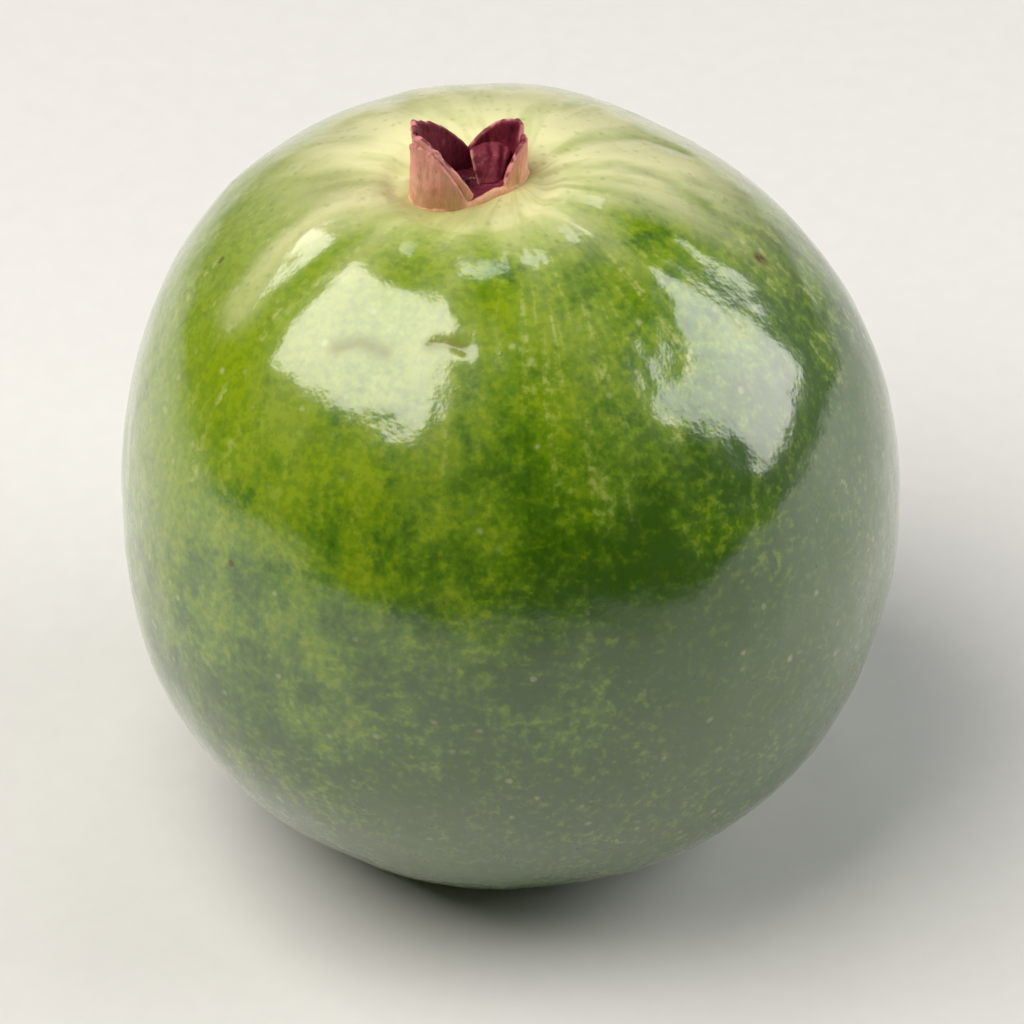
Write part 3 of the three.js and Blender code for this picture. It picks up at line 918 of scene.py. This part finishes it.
def calyx_material(colours):
    """Dry sepals: tan pink outside with fine brown veins, dark maroon inside, pink along the edges, partly
    as a painted highlight.
    """
    s = Shader(bpy.data.materials.new("calyx_sepal"))
    at = s.place()
    inside = s.attribute("inside")
    rim = s.attribute("rim")
    foot = s.attribute("foot")
    lengthwise = s.noise(s.vector("MULTIPLY", at, (1, 1, 0.22)), SEPAL_FIBRE, detail=3, roughness=0.6)
    blotch = s.noise(at, SEPAL_PATCH, detail=4, roughness=0.6)
    grain = s.noise(at, SEPAL_GRAIN, detail=2)

    outer = s.mix(s.range(blotch, 0.35, 0.65), colours.sepal_outside, SEPAL_BLUSH)
    brown = s.range(s.noise(at, 4 * MM, detail=4), 0.5, 0.65)
    outer = s.mix(s.times(brown, 0.36), outer, SEPAL_BLOTCH)
    outer = s.mix(s.times(s.range(lengthwise, 0.46, 0.68), 0.24), outer, SEPAL_VEIN)
    outer = s.mix(s.times(foot, 0.4), outer, SEPAL_FOOT)
    height = s.axis(at, "Z")
    pinker = s.range(height, CALYX_LOW.z + 1 * MM, CALYX_LOW.z + 6 * MM, 0, 0.6)
    outer = s.mix(s.math("MAXIMUM", pinker, s.times(rim, 0.6)), outer, SEPAL_TIP)
    inner = s.mix(s.range(blotch, 0.35, 0.7), colours.sepal_inside, INSIDE_RED)
    inner = s.mix(s.times(s.range(lengthwise, 0.48, 0.7), 0.6), inner, INSIDE_VEIN)
    pink = s.times(s.range(lengthwise, 0.5, 0.34), s.range(blotch, 0.48, 0.62))
    inner = s.mix(s.times(pink, 0.6), inner, INSIDE_PINK)
    colour = s.mix(s.range(inside, 0.35, 0.75), outer, inner)
    # Along the rounded edges the pink is partly the sepals' own colour and partly a painted highlight where
    # the edges catch the light, broken by dark maroon patches.
    off_edge = s.math("ABSOLUTE", s.math("SUBTRACT", inside, 0.45))
    edge = s.times(rim, s.range(s.math("SUBTRACT", 1, off_edge), 0.45, 0.95))
    unlike = s.range(s.noise(at, RIM_PATCH, detail=2), 0.42, 0.58)
    rim_and_highlight_colour = s.mix(unlike, RIM_DARK, colours.sepal_rim_and_highlight)
    colour = s.mix(edge, colour, rim_and_highlight_colour)
    colour = s.mix(s.times(s.range(grain, 0.6, 0.8), 0.25), colour, SEPAL_GRIT)

    rough = s.range(blotch, 0.3, 0.7, 0.5, 0.78)
    relief = s.plus(lengthwise, s.times(grain, 0.4))
    s.set(Base_Color=colour, Roughness=rough, Normal=s.bump(relief, SEPAL_BUMP, 0.9), Specular_IOR_Level=0.3)
    return s.owner


def thread_material():
    """Brown dry threads, darker in places."""
    s = Shader(bpy.data.materials.new("dry_thread"))
    spots = s.noise(s.place(), 0.5 * MM, detail=2)
    s.set(Base_Color=s.mix(s.range(spots, 0.35, 0.65), THREAD_DARK, THREAD_BROWN),
          Roughness=s.range(spots, 0.3, 0.7, 0.6, 0.85), Normal=s.bump(spots, 0.03 * MM))
    return s.owner


def stalk_material(colours):
    """Brown bark with lengthwise cracks and a paler cut end."""
    s = Shader(bpy.data.materials.new("stalk_bark"))
    at = s.place()
    cut = s.attribute("cut")
    cracks = s.noise(s.vector("MULTIPLY", at, (1, 1, 0.25)), 0.5 * MM, detail=4, roughness=0.65)
    rings = s.noise(at, 0.3 * MM, detail=3)
    bark = s.mix(s.range(cracks, 0.35, 0.65), BARK_CRACK, colours.stalk_bark)
    wood = s.mix(s.range(rings, 0.3, 0.7), colours.stalk_cut, WOOD_RING)
    pith = s.range(s.noise(s.vector("MULTIPLY", at, (1, 1, 0)), 1.3 * MM, detail=3), 0.5, 0.68)
    wood = s.mix(s.times(pith, 0.7), wood, PITH)
    s.set(Base_Color=s.mix(cut, bark, wood), Roughness=s.range(cracks, 0.3, 0.7, 0.65, 0.9),
          Normal=s.bump(s.plus(cracks, s.times(rings, 0.2)), 0.15 * MM, 0.9))
    return s.owner


def plain_floor_material():
    """Matt, nearly white, with a faint grain."""
    s = Shader(bpy.data.materials.new("studio_floor"))
    grain = s.noise(s.place(), 3 * MM, detail=2)
    shade = s.range(grain, 0.2, 0.8, *FLOOR_SHADE)
    s.set(Base_Color=s.mix(shade, (0, 0, 0), FLOOR_WHITE), Roughness=0.55)
    return s.owner


# Pieces

def finish_piece(obj, material, slot, *nodes):
    """Gives a piece its material, the nodes whose place it takes and the body it rides on. The slot is not
    used.
    """
    obj.data.materials.append(material)
    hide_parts(*nodes)
    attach(obj, "root")


class GUAVA_OT_skin(bpy.types.Operator):
    """Makes the fruit's skin"""

    bl_idname = "guava.skin"
    bl_label = "Skin"

    def execute(self, context):
        skin = make_skin(context.scene.guava_sizes)
        finish_piece(skin, skin_material(context.scene.guava_colours), "skin", "fruit")
        return {"FINISHED"}


class GUAVA_OT_calyx(bpy.types.Operator):
    """Makes the calyx: its cup and its sepals"""

    bl_idname = "guava.calyx"
    bl_label = "Calyx"

    def execute(self, context):
        sizes = context.scene.guava_sizes
        material = calyx_material(context.scene.guava_colours)
        place = calyx_place(sizes)
        finish_piece(make_cup(sizes, place), material, "calyx", "calyx")
        finish_piece(make_flap(sizes, place), material, "calyx", "calyx")
        for sepal in SEPALS:
            finish_piece(make_sepal(sizes, sepal, place), material, "calyx", "calyx")
        finish_piece(make_stamens(sizes, place), thread_material(), "calyx", "calyx")
        return {"FINISHED"}


class GUAVA_OT_stalk(bpy.types.Operator):
    """Makes the stalk stub under the fruit"""

    bl_idname = "guava.stalk"
    bl_label = "Stalk stub"

    def execute(self, context):
        finish_piece(make_stub(), stalk_material(context.scene.guava_colours), "stalk", "stalk_stub")
        return {"FINISHED"}


# Studio

# The view is a square part of a picture with this focal length, both in pixels.
FOCAL_PX = 2336
FRAMED_WIDTH_PX = 340
SENSOR_WIDTH = 36
VIEW_ELEVATION = radians(39)
VIEW_DISTANCE = 0.738
AIM = Vector((0, 0, 0.0335))

FLOOR_REACH = 4
FLOOR_DROP = 0.05 * MM
FLOOR_SHADE = (0.8, 0.82)

# Where the surroundings brighten from the front and the top to the back, and their strength on either side.
SURROUNDINGS = (0.5, 0.72, 0.07, 2.6)

# Directions from the fruit, distances and sizes in metres, turns about each lamp's own axis in degrees.
LIGHTS = (
    dict(name="left_softbox", direction=(-0.49, -0.1, 0.866), distance=0.62, size=(0.6, 0.53), turn=32,
         radiance=5.2, colour=(1.0, 0.935, 0.85)),
    dict(name="right_softbox", direction=(0.871, 0.152, 0.468), distance=0.62, size=(0.46, 0.43), turn=0,
         radiance=4.0, colour=(1.0, 0.975, 0.93)),
    dict(name="top_lamp", direction=(0.1, 0.5, 0.86), distance=0.7, size=(0.13, 0.12), turn=0,
         radiance=3.4, colour=(1.0, 1.0, 0.97)),
)


def add_camera():
    camera = bpy.data.objects.new("camera", bpy.data.cameras.new("camera"))
    camera.data.sensor_width = SENSOR_WIDTH
    camera.data.lens = SENSOR_WIDTH * FOCAL_PX / FRAMED_WIDTH_PX
    back = Vector((0, -cos(VIEW_ELEVATION), sin(VIEW_ELEVATION)))
    camera.location = AIM + VIEW_DISTANCE * back
    camera.rotation_euler = (pi / 2 - VIEW_ELEVATION, 0, 0)
    bpy.context.scene.collection.objects.link(camera)
    bpy.context.scene.camera = camera


def add_lights():
    for light in LIGHTS:
        data = bpy.data.lights.new(light["name"], "AREA")
        data.shape = "RECTANGLE"
        data.size, data.size_y = light["size"]
        data.energy = light["radiance"] * pi * data.size * data.size_y
        data.color = light["colour"]
        lamp = bpy.data.objects.new(light["name"], data)
        direction = Vector(light["direction"]).normalized()
        lamp.location = AIM + direction * light["distance"]
        turn = Quaternion((0, 0, 1), radians(light["turn"]))
        lamp.rotation_euler = (direction.to_track_quat("Z", "Y") @ turn).to_euler()
        lamp.visible_camera = False
        bpy.context.scene.collection.objects.link(lamp)


def add_world():
    """Soft light that is bright behind the fruit, up to 50 degrees high, and dim overhead and in front."""
    s = Shader(bpy.data.worlds.new("studio"), "Background")
    backward = s.axis(s.node("ShaderNodeTexCoord", output="Generated"), "Y")
    s.set(Strength=s.range(backward, *SURROUNDINGS))
    bpy.context.scene.world = s.owner


class GUAVA_OT_studio(bpy.types.Operator):
    """Makes the pale floor, the soft lights and the camera"""

    bl_idname = "guava.studio"
    bl_label = "Studio"

    def execute(self, context):
        corners = [(x * FLOOR_REACH, y * FLOOR_REACH, 0) for x, y in ((-1, -1), (1, -1), (1, 1), (-1, 1))]
        floor = new_object("studio_floor", corners, [(0, 1, 2, 3)])
        floor.location.z = -FLOOR_DROP
        floor.data.materials.append(plain_floor_material())
        add_lights()
        add_world()
        add_camera()
        context.scene.view_settings.view_transform = "Standard"
        return {"FINISHED"}


class GUAVA_PT_panel(bpy.types.Panel):
    """Lists the steps that build the guava and its sizes and colours"""

    bl_idname = "GUAVA_PT_panel"
    bl_label = "Guava"
    bl_space_type = "VIEW_3D"
    bl_region_type = "UI"
    bl_category = "Guava"

    def draw(self, context):
        for operator in OPERATORS:
            self.layout.operator(operator.bl_idname)
        for group in (context.scene.guava_sizes, context.scene.guava_colours):
            column = self.layout.column()
            for key in group.__annotations__:
                column.prop(group, key)


OPERATORS = (GUAVA_OT_skin, GUAVA_OT_calyx, GUAVA_OT_stalk, GUAVA_OT_studio)
CLASSES = (GuavaSizes, GuavaColours, *OPERATORS, GUAVA_PT_panel)


def register():
    for item in CLASSES:
        bpy.utils.register_class(item)
    bpy.types.Scene.guava_sizes = bpy.props.PointerProperty(type=GuavaSizes)
    bpy.types.Scene.guava_colours = bpy.props.PointerProperty(type=GuavaColours)


def unregister():
    del bpy.types.Scene.guava_colours
    del bpy.types.Scene.guava_sizes
    for item in reversed(CLASSES):
        bpy.utils.unregister_class(item)


def main():
    register()
    bpy.ops.guava.skin()
    bpy.ops.guava.calyx()
    bpy.ops.guava.stalk()
    bpy.ops.guava.studio()


if __name__ == "__main__":
    main()
